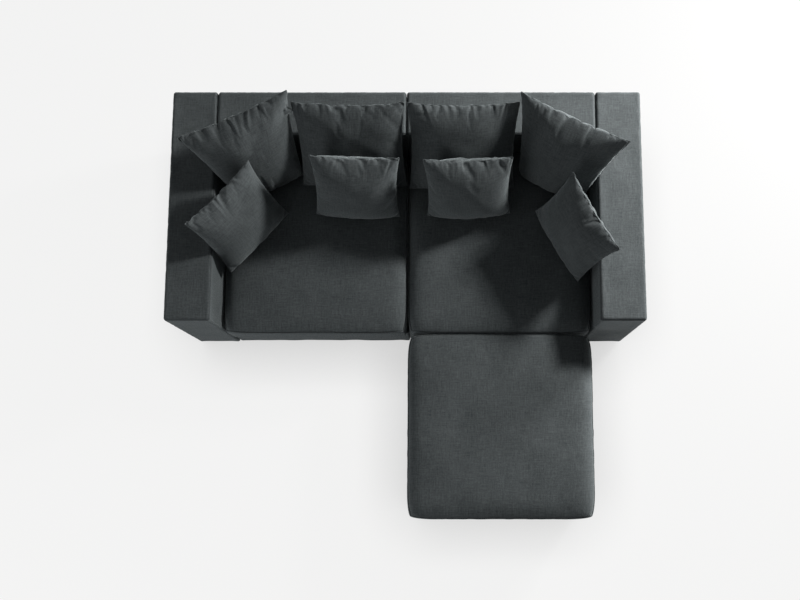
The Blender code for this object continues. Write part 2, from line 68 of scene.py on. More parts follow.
# Loose cushions: width, height, thickness, width of the foot over the width of the top
LOOSE = {
    "back": (0.548, 0.470, 0.152, 1.0),
    "corner": (0.574, 0.475, 0.210, 0.62),
    "middle": (0.435, 0.395, 0.210, 1.0),
    "side": (0.435, 0.395, 0.150, 1.0),
}
DRAWN_IN = 0.016
# Steps of the solid's form, and of an arc that is measured
SOLID_CELLS = 12
ARC_STEPS = 720
# How each is turned round the vertical, leant back and rolled
TURNS = {
    "left_back": (-1.3, 34.5, 0.8), "right_back": (2.0, 37.5, -1.5),
    "left_corner": (22.0, 30.0, 3.0), "right_corner": (-28.5, 25.0, 3.0),
    "left_middle": (0.3, 25.0, -2.7), "right_middle": (0.5, 22.4, 1.8),
    "left_side": (51.0, 29.0, -4.0), "right_side": (-59.0, 23.0, -2.4),
}

# Cloth that is filled with air
CLOTH = {
    "quality": 4,
    "mass": 0.3,
    "air_damping": 1.0,
    "tension_stiffness": 30.0,
    "compression_stiffness": 30.0,
    "shear_stiffness": 5.0,
    "bending_stiffness": 0.5,
    "tension_damping": 5.0,
    "compression_damping": 5.0,
    "shear_damping": 5.0,
    "use_pressure": True,
}

# Filling a loose cushion: pressure, shrinkage of its seam, unevenness of the flat panels
LOOSE_FRAMES = 30
LOOSE_PRESSURE = 10.0
LOOSE_SHRINK = (0.06, 0.015)
FLAT_PUSH = (0.012, 0.004)
FLAT_WAVES = (0.05, 0.14)

# Folds taken from the filled cloth
FOLD_WIDTH = 0.030
FOLD_LIMIT = 0.0075
FOLD_GAIN = 0.85
FOOT_FOLDS = 0.30
FOLD_REACH = 0.075
FULL_FOLD_THICKNESS = 0.175

# Shaping of a loose cushion: its upper edge, its lumps and the thin strip at its seam
TOP_EDGE_SHARPNESS = 0.20
TOP_FULLNESS = 0.06
LUMP_HEIGHT = 0.0025
LUMP_LENGTHS = (0.10, 0.24)
PANELS_APART = 0.3
LEAST_HALF_THICKNESS = 0.01
SEAM_PINCH = 0.30
SEAM_PINCH_REACH = 0.005
WELT_RADIUS = 0.0016

# Pleats that start at a loose cushion's seams, and the flat ears at its corners
PLEAT_DEPTHS = (0.0012, 0.0088)
PLEAT_SPACING = 0.040
PLEAT_JITTER = 0.45
PLEAT_WIDTHS = (0.0060, 0.0105)
PLEAT_REACH = (0.020, 0.078)
PLEAT_START = 0.006
PLEAT_SLANT = 0.40
PLEAT_CREST = 0.55
PLEAT_CREST_PLACE = 1.7
FOOT_PLEAT_SHARE = 0.5
EAR_REACH = 0.050
EAR_FLATNESS = 0.60
EAR_CREASE = 0.0070
EAR_CREASE_PLACE = 1.25
EAR_CREASE_WIDTH = 0.009

# Clearances
CLEAR_OF_NEIGHBOURS = 0.0008
NEIGHBOUR_REACH = 0.045
WALL_CLEARANCE = 0.0010

# Covers
COVER_RADIUS = 0.014
COVER_BOTTOM = 0.0305
COVER_THICKNESS = 0.003
COVER_TURN = 30.0
COVER_FIRST_LINE = 0.28
COVER_BEYOND_EDGE = 0.006
SLACK = 0.0014
SLACK_MEAN = 1.5
SLACK_LENGTHS = (0.12, 0.42)
PUCKER = 0.0008
PUCKER_REACH = 0.022
PUCKER_LENGTHS = (0.022, 0.05)
GROOVE = 0.0016
GROOVE_WIDTH = 0.0028

# Foam boards
FOAM_EDGE = 0.006
FOAM_EDGE_SHARE = 0.3
FOAM_FIRST_LINE = 0.42
FOAM_UNEVENNESS = 0.0005
FOAM_LENGTHS = (0.06, 0.2)

# Webbing
STRAP_COUNT = 5
STRAP_WIDTH = 0.070
STRAP_THICKNESS = 0.0012
STRAP_SWING = 0.0009
STRAP_STEPS = 8
STRAP_LINES = 5
WEBBING_CORD = 0.0035
WEBBING_THREAD = 0.0022

# Boxed cushions
BOXING_HEIGHT = 0.167
SEAT_CROWN = 0.026
CROWN_POWER = 4.5
SIDE_CROWN_POWER = 11.0
FRONT_CROWN_POWER = 8.0
SIDE_ROLL = 0.068
SIDE_ROLL_DROP = 0.030
FRONT_ROLL_DROP = 0.005
ROLL_TURN = 0.96
SIDE_BULGE = 0.008
BULGE_POWER = 4
CORNER_PULL = 0.016
CORNER_SHARPNESS = 8
BOXED_FRAMES = 20
BOXED_PRESSURE = 5.0
BOXED_SHRINK = 0.02
BOXED_FOLD_CELLS = 3.0
BOXED_FOLD_LIMIT = 0.0012
TOP_DIP = 0.0016
TOP_DIP_MEAN = 1.2
TOP_DIP_LENGTHS = (0.14, 0.40)
TOP_GROOVE_WIDTH = 0.004

# The range of a noise that a roughness is spread over
GRAIN_RANGE = (0.3, 0.7)

# Fabric: colours, threads, patterns, shares of the tone, seams, sheen
FABRIC_DARK = (0.0158, 0.0194, 0.0208)
FABRIC_LIGHT = (0.0700, 0.0780, 0.0805)
FABRIC_ROUGHNESS = 0.86
FABRIC_ROUGHNESS_RANGE = (0.92, 0.80)
FABRIC_SPECULAR = 0.10
UPHOLSTERY_THREAD = 0.0021
CUSHION_THREAD = 0.0019
SLUBS_ALONG = 14.0
SLUBS_ACROSS = 300.0
WEFT_SHIFT = (3.1, 7.7, 0.0)
MOTTLE_SCALE = 95.0
CLOUD_SCALE = 7.0
SLUB_RANGE = (0.38, 0.62)
MOTTLE_RANGE = (0.34, 0.66)
CLOUD_RANGE = (0.35, 0.65)
SLUB_HEIGHT = 0.8
WEAVE_BUMP = (0.0005, 0.55)
MOTTLE_BUMP = (0.0016, 0.35)
LEAST_TONE = 0.12
SLUB_TONE = 0.40
MOTTLE_TONE = 0.24
CLOUD_TONE = 0.10
WEAVE_TONE = 0.06
SEAM_LINE = (0.0004, 0.0022)
SEAM_DARKNESS = 0.45
SEAM_HEIGHT = 1.6
SHEEN_WEIGHT = 0.20
SHEEN_ROUGHNESS = 0.45
SHEEN_TINT = (0.80, 0.90, 0.92, 1.0)

# Floor and backdrop
FLOOR_COLOUR = (0.60, 0.60, 0.60)
FLOOR_GLOW = 0.96
FLOOR_GLOW_COLOUR = (0.912, 0.912, 0.910, 1.0)
FLOOR_HALF = 30.0
CONTACT_SHADE = 0.30
CONTACT_SHADE_FULL = 0.3
CONTACT_SHADE_REACH = 0.35
CONTACT_SHADE_SAMPLES = 12
BACKDROP_COLOUR = (0.882, 0.882, 0.880, 1.0)
WORLD_COLOUR = (0.96, 0.98, 1.0, 1.0)
WORLD_LEVEL = 0.155

# Lights: place, target, side of the square, watts, colour
LIGHTS = {
    "key": ((3.0, 2.0, 2.3), (0.1, 0.0, 0.4), 0.5, 305.0, (1.0, 0.99, 0.97)),
    "side": ((4.2, 2.7, 1.35), (0.0, 0.0, 0.4), 0.7, 430.0, (1.0, 0.99, 0.98)),
    "front_fill": ((-2.3, -3.2, 0.95), (-0.4, -0.1, 0.35), 1.8, 62.0, (1.0, 1.0, 1.0)),
    "far_fill": ((-4.0, -0.6, 1.6), (0.0, 0.0, 0.4), 2.0, 30.0, (1.0, 1.0, 1.0)),
}

# Camera: above the sofa, tilted a little from straight down
CAMERA_PLACE = (0.200, -0.889, 4.403)
CAMERA_TILT = 7.0
CAMERA_LENS = 34.97
CAMERA_SENSOR = 36.0
CAMERA_SHIFT = (-0.0569, 0.105)


# Materials
class Nodes:
    """A short way to write a material's node tree."""

    def __init__(self, name, colour, roughness):
        self.material = bpy.data.materials.new(name)
        self.material.use_nodes = True
        self.material.diffuse_color = (*colour, 1.0)
        self.tree = self.material.node_tree
        self.shader = self.tree.nodes["Principled BSDF"]
        self.shader.inputs["Base Color"].default_value = (*colour, 1.0)
        self.shader.inputs["Roughness"].default_value = roughness

    def add(self, kind, **values):
        node = self.tree.nodes.new("ShaderNode" + kind)
        for key, value in values.items():
            setattr(node, key, value)
        return node

    def put(self, socket, value):
        if isinstance(value, bpy.types.NodeSocket):
            self.tree.links.new(value, socket)
        else:
            socket.default_value = value

    def math(self, operation, a, b=0.0, c=0.0):
        node = self.add("Math", operation=operation)
        for socket, value in zip(node.inputs, (a, b, c)):
            self.put(socket, value)
        return node.outputs[0]

    def uv(self, layer):
        return self.add("UVMap", uv_map=layer).outputs[0]

    def parts(self, vector):
        node = self.add("SeparateXYZ")
        self.put(node.inputs[0], vector)
        return node.outputs[0], node.outputs[1]

    def scaled(self, vector, scale, shift=(0.0, 0.0, 0.0)):
        node = self.add("Mapping")
        self.put(node.inputs["Vector"], vector)
        node.inputs["Scale"].default_value = scale
        node.inputs["Location"].default_value = shift
        return node.outputs[0]

    def noise(self, vector, scale, detail, roughness):
        node = self.add("TexNoise")
        self.put(node.inputs["Vector"], vector)
        node.inputs["Scale"].default_value = scale
        node.inputs["Detail"].default_value = detail
        node.inputs["Roughness"].default_value = roughness
        return node.outputs["Fac"]

    def between(self, value, low, high, out_low=0.0, out_high=1.0):
        node = self.add("MapRange")
        for socket, item in zip(node.inputs, (value, low, high, out_low, out_high)):
            self.put(socket, item)
        return node.outputs[0]

    def mix(self, factor, a, b):
        node = self.add("Mix", data_type="RGBA")
        self.put(node.inputs[0], factor)
        self.put(node.inputs[6], a)
        self.put(node.inputs[7], b)
        return node.outputs[2]

    def bump(self, height, distance, strength, normal=None):
        node = self.add("Bump")
        node.inputs["Strength"].default_value = strength
        node.inputs["Distance"].default_value = distance
        self.put(node.inputs["Height"], height)
        if normal is not None:
            self.put(node.inputs["Normal"], normal)
        return node.outputs[0]

    def grained(self, tone, dark, light, grain, roughness, bump):
        """Colour from dark to light by a tone; roughness and bump by a grain."""
        self.put(self.shader.inputs["Base Color"],
                 self.mix(tone, (*dark, 1.0), (*light, 1.0)))
        self.put(self.shader.inputs["Roughness"],
                 self.between(grain, *GRAIN_RANGE, *roughness))
        self.put(self.shader.inputs["Normal"], self.bump(grain, *bump))
        return self.material


def fabric_material(name, thread, stitched):
    """Dark linen-like upholstery: plain weave, thick and thin threads, mottling, seams."""
    middle = tuple((a + b) / 2.0 for a, b in zip(FABRIC_DARK, FABRIC_LIGHT))
    look = Nodes(name, middle, FABRIC_ROUGHNESS)
    panel = look.uv("panel")
    x, y = look.parts(panel)
    turn = math.pi / thread
    over_x = look.math("SINE", look.math("MULTIPLY", x, turn))
    over_y = look.math("SINE", look.math("MULTIPLY", y, turn))
    weave = look.math("ABSOLUTE", look.math("MULTIPLY", over_x, over_y))
    warp = look.noise(look.scaled(panel, (SLUBS_ACROSS, SLUBS_ALONG, 1.0)), 1.0, 2.0, 0.6)
    shifted = look.scaled(panel, (SLUBS_ALONG, SLUBS_ACROSS, 1.0), WEFT_SHIFT)
    weft = look.noise(shifted, 1.0, 2.0, 0.6)
    slubs = look.math("MULTIPLY", look.math("ADD", warp, weft), 0.5)
    mottle = look.noise(panel, MOTTLE_SCALE, 3.0, 0.65)
    cloud = look.noise(panel, CLOUD_SCALE, 2.0, 0.5)
    tone = look.math("MULTIPLY_ADD", look.between(slubs, *SLUB_RANGE), SLUB_TONE, LEAST_TONE)
    tone = look.math("MULTIPLY_ADD", look.between(mottle, *MOTTLE_RANGE), MOTTLE_TONE, tone)
    tone = look.math("MULTIPLY_ADD", look.between(cloud, *CLOUD_RANGE), CLOUD_TONE, tone)
    tone = look.math("MULTIPLY_ADD", weave, WEAVE_TONE, tone)
    colour = look.mix(tone, (*FABRIC_DARK, 1.0), (*FABRIC_LIGHT, 1.0))
    height = look.math("MULTIPLY_ADD", slubs, SLUB_HEIGHT, weave)
    if stitched:
        across, along = look.parts(look.uv("rim"))
        edge = look.math("MINIMUM", across, along)
        seam = look.between(edge, *SEAM_LINE)
        in_seam = tuple(c * SEAM_DARKNESS for c in FABRIC_DARK) + (1.0,)
        colour = look.mix(seam, in_seam, colour)
        height = look.math("MULTIPLY_ADD", seam, SEAM_HEIGHT, height)
    look.put(look.shader.inputs["Base Color"], colour)
    look.put(look.shader.inputs["Roughness"],
             look.between(slubs, *GRAIN_RANGE, *FABRIC_ROUGHNESS_RANGE))
    look.shader.inputs["Sheen Weight"].default_value = SHEEN_WEIGHT
    look.shader.inputs["Sheen Roughness"].default_value = SHEEN_ROUGHNESS
    look.shader.inputs["Sheen Tint"].default_value = SHEEN_TINT
    look.shader.inputs["Specular IOR Level"].default_value = FABRIC_SPECULAR
    fine = look.bump(height, *WEAVE_BUMP)
    look.put(look.shader.inputs["Normal"], look.bump(mottle, *MOTTLE_BUMP, fine))
    return look.material


def wood_material():
    """Planed pine with grain along X."""
    look = Nodes("planed_wood", (0.50, 0.35, 0.20), 0.6)
    place = look.add("TexCoord").outputs["Object"]
    grain = look.noise(look.scaled(place, (3.0, 60.0, 60.0)), 1.0, 5.0, 0.6)
    rings = look.noise(look.scaled(place, (1.2, 16.0, 16.0)), 1.0, 2.0, 0.5)
    tone = look.math("MULTIPLY_ADD", grain, 0.6, look.math("MULTIPLY", rings, 0.4))
    return look.grained(look.between(tone, 0.35, 0.65), (0.34, 0.21, 0.10), (0.62, 0.46, 0.28),
                        grain, (0.52, 0.72), (0.0008, 0.4))


def plastic_material():
    """Matt black dust cover and glides with a fine grain."""
    look = Nodes("black_underside", (0.022, 0.022, 0.023), 0.5)
    place = look.add("TexCoord").outputs["Object"]
    grain = look.noise(place, 900.0, 2.0, 0.6)
    cloud = look.noise(place, 18.0, 2.0, 0.5)
    return look.grained(cloud, (0.016, 0.016, 0.017), (0.034, 0.034, 0.035),
                        grain, (0.42, 0.62), (0.0003, 0.4))


def steel_material():
    """Zinc-plated sheet steel with rolling marks."""
    look = Nodes("plated_steel", (0.56, 0.57, 0.58), 0.35)
    look.shader.inputs["Metallic"].default_value = 1.0
    place = look.add("TexCoord").outputs["Object"]
    marks = look.noise(look.scaled(place, (40.0, 900.0, 40.0)), 1.0, 3.0, 0.6)
    cloud = look.noise(place, 60.0, 3.0, 0.5)
    return look.grained(cloud, (0.48, 0.49, 0.50), (0.64, 0.65, 0.66),
                        marks, (0.28, 0.46), (0.0002, 0.3))


def foam_material():
    """Cut open-cell foam."""
    look = Nodes("cut_foam", (0.78, 0.74, 0.60), 0.95)
    place = look.add("TexCoord").outputs["Object"]
    cells = look.add("TexVoronoi")
    look.put(cells.inputs["Vector"], place)
    cells.inputs["Scale"].default_value = 700.0
    cloud = look.noise(place, 9.0, 2.0, 0.5)
    look.put(look.shader.inputs["Base Color"],
             look.mix(cloud, (0.70, 0.65, 0.50, 1.0), (0.82, 0.79, 0.67, 1.0)))
    look.put(look.shader.inputs["Roughness"], look.between(cloud, *GRAIN_RANGE, 0.90, 0.98))
    look.put(look.shader.inputs["Normal"], look.bump(cells.outputs["Distance"], 0.0006, 0.6))
    return look.material


def webbing_material():
    """Woven elastic webbing: lengthwise cords crossed by finer threads."""
    look = Nodes("elastic_webbing", (0.16, 0.15, 0.14), 0.85)
    x, y = look.parts(look.uv("panel"))
    cord_wave = look.math("SINE", look.math("MULTIPLY", x, math.pi / WEBBING_CORD))
    cord = look.math("ABSOLUTE", cord_wave)
    pick_wave = look.math("SINE", look.math("MULTIPLY", y, math.pi / WEBBING_THREAD))
    pick = look.math("ABSOLUTE", pick_wave)
    weave = look.math("MULTIPLY", cord, pick)
    spread = look.noise(look.uv("panel"), 240.0, 2.0, 0.6)
    tone = look.math("MULTIPLY_ADD", weave, 0.6, look.math("MULTIPLY", spread, 0.4))
    look.put(look.shader.inputs["Base Color"],
             look.mix(tone, (0.09, 0.085, 0.08, 1.0), (0.24, 0.23, 0.21, 1.0)))
    look.put(look.shader.inputs["Roughness"], look.between(weave, 0.0, 1.0, 0.92, 0.76))
    look.put(look.shader.inputs["Normal"], look.bump(weave, 0.0005, 0.6))
    return look.material


def floor_material():
    """A plain pale floor that looks white to the camera and darkens where the object stands."""
    look = Nodes("pale_floor", FLOOR_COLOUR, 0.9)
    look.shader.inputs["Specular IOR Level"].default_value = 0.1
    light = look.add("LightPath")
    seen = look.math("MAXIMUM", light.outputs["Is Camera Ray"], light.outputs["Is Glossy Ray"])
    seen = look.math("MAXIMUM", seen, light.outputs["Is Transmission Ray"])
    open_above = look.add("AmbientOcclusion", samples=CONTACT_SHADE_SAMPLES)
    open_above.inputs["Distance"].default_value = CONTACT_SHADE_REACH
    darkest = 1.0 - CONTACT_SHADE
    shade = look.between(open_above.outputs["AO"], CONTACT_SHADE_FULL, 1.0, darkest, 1.0)
    glow = look.add("Emission")
    glow.inputs["Color"].default_value = FLOOR_GLOW_COLOUR
    look.put(glow.inputs["Strength"], shade)
    blend = look.add("MixShader")
    look.put(blend.inputs[0], look.math("MULTIPLY", seen, FLOOR_GLOW))
    look.put(blend.inputs[1], look.shader.outputs[0])
    look.put(blend.inputs[2], glow.outputs[0])
    look.put(look.tree.nodes["Material Output"].inputs[0], blend.outputs[0])
    return look.material


UPHOLSTERY = fabric_material("upholstery_weave", UPHOLSTERY_THREAD, stitched=True)
CUSHION_FABRIC = fabric_material("cushion_weave", CUSHION_THREAD, stitched=False)
WOOD, PLASTIC, STEEL = wood_material(), plastic_material(), steel_material()
FOAM, WEBBING = foam_material(), webbing_material()


# Cloth forms
def waves(points, seed, lengths):
    """A smooth value for each point, about -1 to 1, from a few waves in random directions."""
    rng = np.random.default_rng(seed)
    total = np.zeros(points.shape[:-1])
    for _ in range(WAVE_COUNT):
        direction = rng.normal(size=3)
        direction /= np.linalg.norm(direction)
        length = rng.uniform(*lengths)
        phase = rng.uniform(0.0, 2.0 * math.pi)
        total += np.sin(points @ direction * (2.0 * math.pi / length) + phase)
    return total / math.sqrt(WAVE_COUNT)


def smoothed(grid, cells):
    """A grid of points after a Gaussian blur that keeps its edges in place."""
    reach = int(3 * cells) + 1
    weights = np.exp(-0.5 * (np.arange(-reach, reach + 1) / cells) ** 2)
    weights /= weights.sum()
    for axis in (0, 1):
        pad = [(0, 0)] * 3
        pad[axis] = (reach, reach)
        padded = np.pad(grid, pad, mode="reflect", reflect_type="odd")
        size = grid.shape[axis]
        grid = sum(
            w * np.take(padded, range(k, k + size), axis=axis) for k, w in enumerate(weights)
        )
    return grid


def resampled(grid, rows, columns):
    """Values of a grid at other places: rows and columns run from 0 to 1."""
    old_rows, old_columns = (np.linspace(0.0, 1.0, count) for count in grid.shape[:2])
    out = np.empty((len(rows), len(columns), 3))
    for k in range(3):
        half = np.array([np.interp(columns, old_columns, line) for line in grid[:, :, k]])
        out[:, :, k] = np.array([np.interp(rows, old_rows, line) for line in half.T]).T
    return out


def lines(length, cell, near=SEAM_LINES):
    """Places of grid lines along a panel, closer together at its two seams."""
    count = max(2, round((length - 2.0 * near[-1]) / cell))
    inner = np.linspace(near[-1], length - near[-1], count + 1)
    return np.concatenate([[0.0], near[:-1], inner, length - np.array(near[-2::-1]), [length]])


class Sewn:
    """Rectangular panels, sewn where their edges share points."""

    def __init__(self):
        self.keys, self.points, self.faces, self.uv, self.rim = {}, [], [], [], []

    def add(self, start, final, flat_rows, flat_columns, flip=False):
        """A panel: start gives the places that say what is sewn, final where its points lie."""
        rows, columns = start.shape[:2]
        index = np.empty((rows, columns), dtype=int)
        for i in range(rows):
            for j in range(columns):
                key = tuple(np.round(start[i, j], 5) + 0.0)
                if key not in self.keys:
                    self.keys[key] = len(self.points)
                    self.points.append(final[i, j])
                index[i, j] = self.keys[key]
        height, width = flat_rows[-1], flat_columns[-1]
        across = np.minimum(flat_columns, width - flat_columns)
        up = np.minimum(flat_rows, height - flat_rows)
        for i in range(rows - 1):
            for j in range(columns - 1):
                corners = [(i, j), (i, j + 1), (i + 1, j + 1), (i + 1, j)]
                if flip:
                    corners.reverse()
                self.faces.append([index[c] for c in corners])
                self.uv += [(flat_columns[c[1]], flat_rows[c[0]]) for c in corners]
                self.rim += [(across[c[1]], up[c[0]]) for c in corners]
        return index

    def make(self, name, material):
        mesh = bpy.data.meshes.new(name)
        faces = [list(map(int, f)) for f in self.faces]
        mesh.from_pydata([tuple(p) for p in self.points], [], faces)
        for layer, values in (("panel", self.uv), ("rim", self.rim)):
            data = mesh.uv_layers.new(name=layer).data
            data.foreach_set("uv", np.array(values, dtype=np.float32).ravel())
        mesh.polygons.foreach_set("use_smooth", [True] * len(mesh.polygons))
        mesh.materials.append(material)
        mesh.update()
        piece = bpy.data.objects.new(name, mesh)
        bpy.context.scene.collection.objects.link(piece)
        return piece


def limited(folds, limit):
    """Moves whose length eases off towards a limit."""
    length = np.linalg.norm(folds, axis=-1, keepdims=True)
    return folds * (limit * np.tanh(length / limit) / np.maximum(length, NEVER_ZERO))


def seam_of(panels):
    """The numbers of the points on the edges of sewn panels."""
    return np.unique(np.concatenate(
        [np.r_[p[0], p[-1], p[:, 0], p[:, -1]] for p in panels.values()]))


def inflate(points, faces, seam, pressure, shrink, frames):
    """Where the points of a closed cloth shape go when it is filled with air."""
    mesh = bpy.data.meshes.new("air_bag")
    mesh.from_pydata([tuple(p) for p in points], [], [list(map(int, f)) for f in faces])
    mesh.update()
    bag = bpy.data.objects.new("air_bag", mesh)
    bpy.context.scene.collection.objects.link(bag)
    bag.vertex_groups.new(name="seam").add([int(i) for i in seam], 1.0, "REPLACE")
    cloth = bag.modifiers.new("Cloth", "CLOTH")
    values = cloth.settings
    for key, value in CLOTH.items():
        setattr(values, key, value)
    values.uniform_pressure_force = pressure
    values.effector_weights.gravity = 0.0
    values.vertex_group_shrink = "seam"
    values.shrink_min, values.shrink_max = 0.0, shrink
    cloth.collision_settings.use_collision = False
    cloth.point_cache.frame_start, cloth.point_cache.frame_end = 1, frames
    for number in range(1, frames + 1):
        bpy.context.scene.frame_set(number)
    graph = bpy.context.evaluated_depsgraph_get()
    settled = bag.evaluated_get(graph).to_mesh()
    out = np.empty(len(points) * 3)
    settled.vertices.foreach_get("co", out)
    bpy.context.scene.frame_set(1)
    bpy.data.objects.remove(bag, do_unlink=True)
    bpy.data.meshes.remove(mesh)
    return out.reshape(-1, 3)


def loose_form(u, v, side, size, sharper=0.0):
    """The smooth form of a loose cushion; side is -1 at its front and 1 at its back."""
    width, height, thickness, foot = size
    narrowing = 1.0 - (1.0 - foot) * (1.0 - v) / 2.0
    x = u * narrowing * (width / 2.0 - DRAWN_IN * (1.0 - v * v))
    z = v * (height / 2.0 - DRAWN_IN * (1.0 - u * u) * (1.0 + v) / 2.0)
    lens = np.sqrt(np.clip((1.0 - u * u) * (1.0 - v * v), 0.0, 1.0))
    if sharper:
        upper = np.clip(v, 0.0, 1.0) ** 2
        fuller = 1.0 + TOP_FULLNESS * (1.0 - v * v)
        lens = lens * np.clip(1.0 - v * v, 0.0, 1.0) ** (sharper * upper) * fuller
    return np.stack([x, side * thickness / 2.0 * lens, z], axis=-1)


def even_steps(half_width, half_thickness, places):
    """Places from -1 to 1 along the cloth, as places from -1 to 1 along the width."""
    angle = np.linspace(-math.pi / 2.0, math.pi / 2.0, ARC_STEPS + 1)
    x, y = half_width * np.sin(angle), half_thickness * np.cos(angle)
    run = np.concatenate([[0.0], np.cumsum(np.hypot(np.diff(x), np.diff(y)))])
    return np.sin(np.interp(places, run / run[-1] * 2.0 - 1.0, angle)), run[-1]


def pleats(along, depth, length, rng):
    """How far folds that start at a seam stand out: most are faint, a few are deep and long."""
    count = round(length / PLEAT_SPACING)
    jitter = rng.uniform(-PLEAT_JITTER, PLEAT_JITTER, count)
    spots = (np.arange(count) + 0.5 + jitter) / count * length
    total = np.zeros(along.shape)
    for spot in spots:
        strength = rng.uniform() ** 2
        height, reach = (least + (most - least) * strength
                         for least, most in (PLEAT_DEPTHS, PLEAT_REACH))
        width, hand = rng.uniform(*PLEAT_WIDTHS), rng.choice((-1.0, 1.0))
        offset = (along - spot - hand * rng.uniform(0.0, PLEAT_SLANT) * depth) / width
        crest = PLEAT_CREST * np.exp(-((offset - PLEAT_CREST_PLACE * hand) ** 2))
        ridge = crest - np.exp(-(offset ** 2))
        fade = np.exp(-((depth / reach) ** 2)) * (1.0 - np.exp(-depth / PLEAT_START))
        total += height * ridge * fade
    return total


def filled_folds(flat_width, flat_height, thickness, seed, rng):
    """The short folds of two flat panels that are sewn round their edge and filled, by side."""
    columns = np.linspace(0.0, flat_width, round(flat_width / LOOSE_BAG_CELL) + 1)
    rows = np.linspace(0.0, flat_height, round(flat_height / LOOSE_BAG_CELL) + 1)
    flat_x, flat_z = np.meshgrid(columns - flat_width / 2.0, rows - flat_height / 2.0)
    u, v = flat_x / (flat_width / 2.0), flat_z / (flat_height / 2.0)
    lens = np.sqrt((1.0 - u * u) * (1.0 - v * v))
    start, where, folds = Sewn(), {}, {}
    for side in (-1, 1):
        spot = np.stack([flat_x, flat_z, flat_x * 0.0], axis=-1)
        push = side * (FLAT_PUSH[0] + FLAT_PUSH[1] * waves(spot, seed + side, FLAT_WAVES))
        grid = np.stack([flat_x, push * lens, flat_z], axis=-1)
        where[side] = start.add(grid, grid, rows, columns, flip=side > 0)
    shrink = LOOSE_SHRINK[0] + LOOSE_SHRINK[1] * rng.uniform()
    full = inflate(start.points, start.faces, seam_of(where),
                   LOOSE_PRESSURE, shrink, LOOSE_FRAMES)
    for side in (-1, 1):
        grid = full[where[side]]
        folds[side] = grid - smoothed(grid, FOLD_WIDTH / LOOSE_BAG_CELL)
        folds[side][:, :, 1] *= min(1.0, thickness / FULL_FOLD_THICKNESS)
    return folds


def loose_cushion(name, kind, node, seed):
    """A loose cushion: two panels sewn round their edge, filled, then shaped to the solid's form.

    Returns the piece and the numbers of the points along its seam."""
    size = LOOSE[kind]
    width, height, thickness, _ = size
    rng = np.random.default_rng(seed)
    _, flat_width = even_steps(width / 2.0, thickness / 2.0, np.zeros(1))
    _, flat_height = even_steps(height / 2.0, thickness / 2.0, np.zeros(1))
    folds = {}
    folds = filled_folds(flat_width, flat_height, thickness, seed, rng)
    columns, rows = lines(flat_width, LOOSE_CELL_ACROSS), lines(flat_height, LOOSE_CELL_UP)
    u, _ = even_steps(width / 2.0, thickness / 2.0, columns / flat_width * 2.0 - 1.0)
    v, _ = even_steps(height / 2.0, thickness / 2.0, rows / flat_height * 2.0 - 1.0)
    u, v = np.meshgrid(u, v)
    from_side, from_end = np.meshgrid(np.minimum(columns, flat_width - columns),
                                      np.minimum(rows, flat_height - rows))
    near, corner = np.minimum(from_side, from_end), np.hypot(from_side, from_end)
    depth = np.clip(near / SEAM_RAMP, 0.0, 1.0)
    along, up = np.meshgrid(columns, rows)
    from_top = flat_height - up
    sewn, where = Sewn(), {}
    for side in (-1, 1):
        form = loose_form(u, v, side, size, TOP_EDGE_SHARPNESS)
        flat = np.stack([along, up, np.full(u.shape, side * PANELS_APART)], axis=-1)
        lumps = waves(flat, seed + SEEDS["lumps"] + side, LUMP_LENGTHS)
        form[:, :, 1] += side * LUMP_HEIGHT * depth * lumps
        form[:, :, 1] *= 1.0 - SEAM_PINCH * np.exp(-near / SEAM_PINCH_REACH)
        form[:, :, 1] *= 1.0 - EAR_FLATNESS * np.exp(-((corner / EAR_REACH) ** 2))
        past_ear = corner - EAR_CREASE_PLACE * EAR_REACH
        crease = np.exp(-((past_ear / EAR_CREASE_WIDTH) ** 2))
        form[:, :, 1] -= side * EAR_CREASE * crease * (up < flat_height / 2.0) * depth
        stand = pleats(along, from_top, flat_width, rng)
        stand = stand + FOOT_PLEAT_SHARE * pleats(along, up, flat_width, rng)
        form[:, :, 1] += side * stand
        if folds:
            fold = resampled(folds[side], rows / flat_height, columns / flat_width)
            towards_top = np.exp(-((from_top / FOLD_REACH) ** 2))
            share = FOOT_FOLDS + (1.0 - FOOT_FOLDS) * towards_top
            form += limited(fold * FOLD_GAIN, FOLD_LIMIT) * share[:, :, None]
        start = loose_form(u, v, side, size)
        apart = side * (LEAST_HALF_THICKNESS + start[:, :, 1] * side)
        start[:, :, 1] = np.where(near < TINY, 0.0, apart)
        where[side] = sewn.add(start, form, rows, columns, flip=side > 0)
    piece = sewn.make(name, CUSHION_FABRIC)
    yaw, lean, roll = (math.radians(a) for a in TURNS[node.replace("_cushion", "")])
    turn = (Matrix.Rotation(yaw, 3, "Z") @ Matrix.Rotation(-lean, 3, "X")
            @ Matrix.Rotation(-roll, 3, "Y"))
    piece.data.transform(Matrix.Translation(centre_shift(node, size, turn)) @ turn.to_4x4())
    front = where[-1]
    seam = [front[0, :], front[1:, -1], front[-1, -2::-1], front[-2:0:-1, 0]]
    return piece, np.concatenate(seam)


def centre_shift(node, size, turn):
    """The move that puts a turned cushion in the middle of its solid's box."""
    places = np.sin(np.linspace(-1.0, 1.0, SOLID_CELLS + 1) * math.pi / 2.0)
    u, v = np.meshgrid(places, places)
    coarse = np.concatenate([loose_form(u, v, side, size).reshape(-1, 3) for side in (-1, 1)])
    coarse = coarse @ np.array(turn).T
    low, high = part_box(node)
    return (low + high) / 2.0 - Vector((coarse.min(0) + coarse.max(0)) / 2.0)


def tree_of(piece):
    """A search tree of a piece's surface, in world places."""
    graph = bpy.context.evaluated_depsgraph_get()
    mesh = piece.evaluated_get(graph).to_mesh()
    place = piece.matrix_world
    return BVHTree.FromPolygons([place @ v.co for v in mesh.vertices],
                                [tuple(p.vertices) for p in mesh.polygons])


